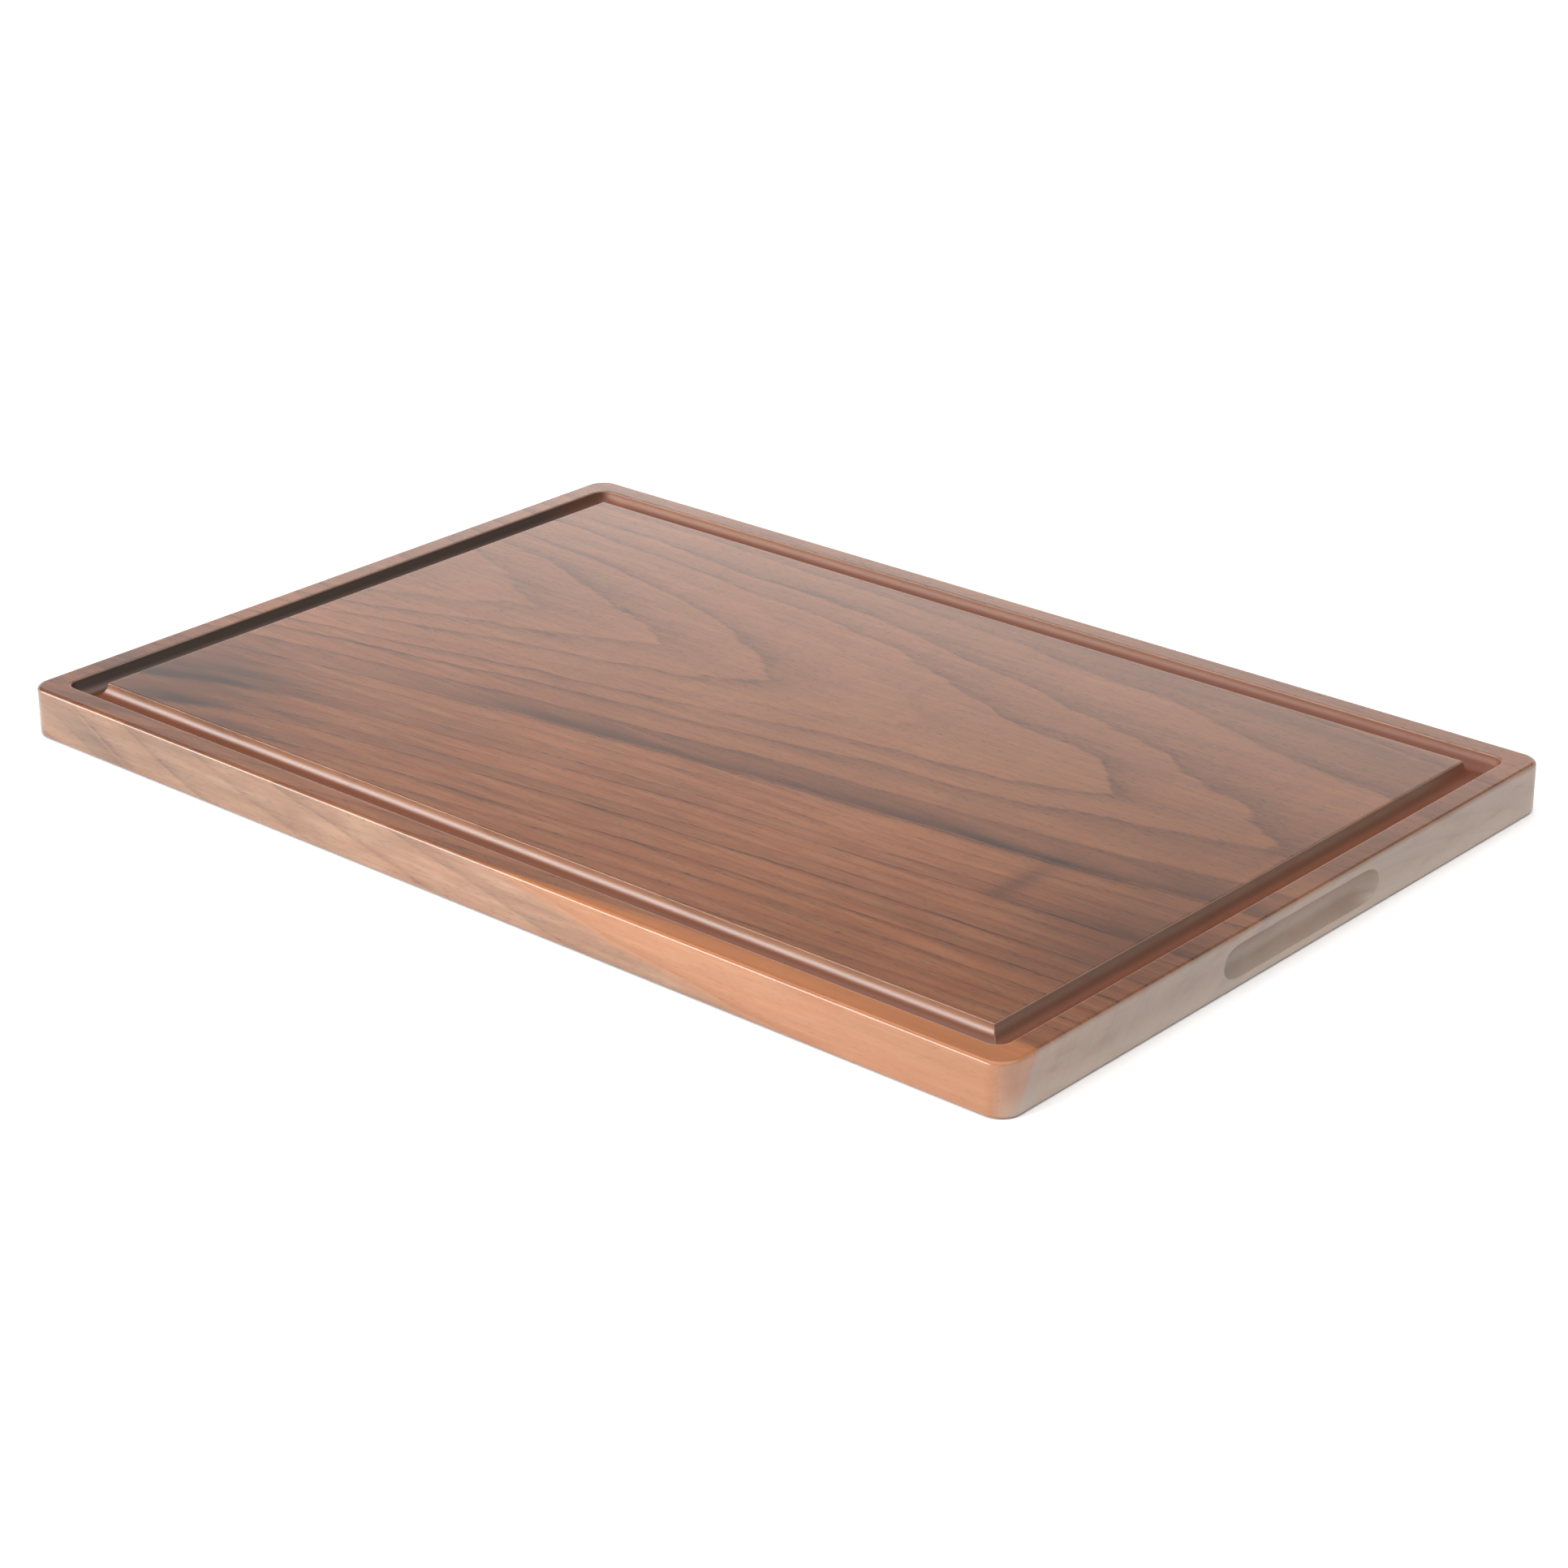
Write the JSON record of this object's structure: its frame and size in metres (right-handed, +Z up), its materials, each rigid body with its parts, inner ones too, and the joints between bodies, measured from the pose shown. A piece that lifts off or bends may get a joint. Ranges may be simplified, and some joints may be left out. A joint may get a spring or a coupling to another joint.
{
  "type": "cutting board",
  "caption": "Flat rectangular wooden cutting board with rounded corners, a juice groove round its top face and a shallow finger grip in each end.",
  "frame": {"origin": "centre of the underside, on the surface that the board rests on", "axes": "+Z up out of the grooved face, +X along the length and the grain, +Y across the width"},
  "size_m": [0.4572, 0.3048, 0.0191],
  "materials": {
    "oiled_walnut": "flat-sawn walnut, sanded smooth and oiled to a satin sheen"
  },
  "bodies": {
    "root": {"walnut_plank": "oiled_walnut"}
  },
  "joints": []
}
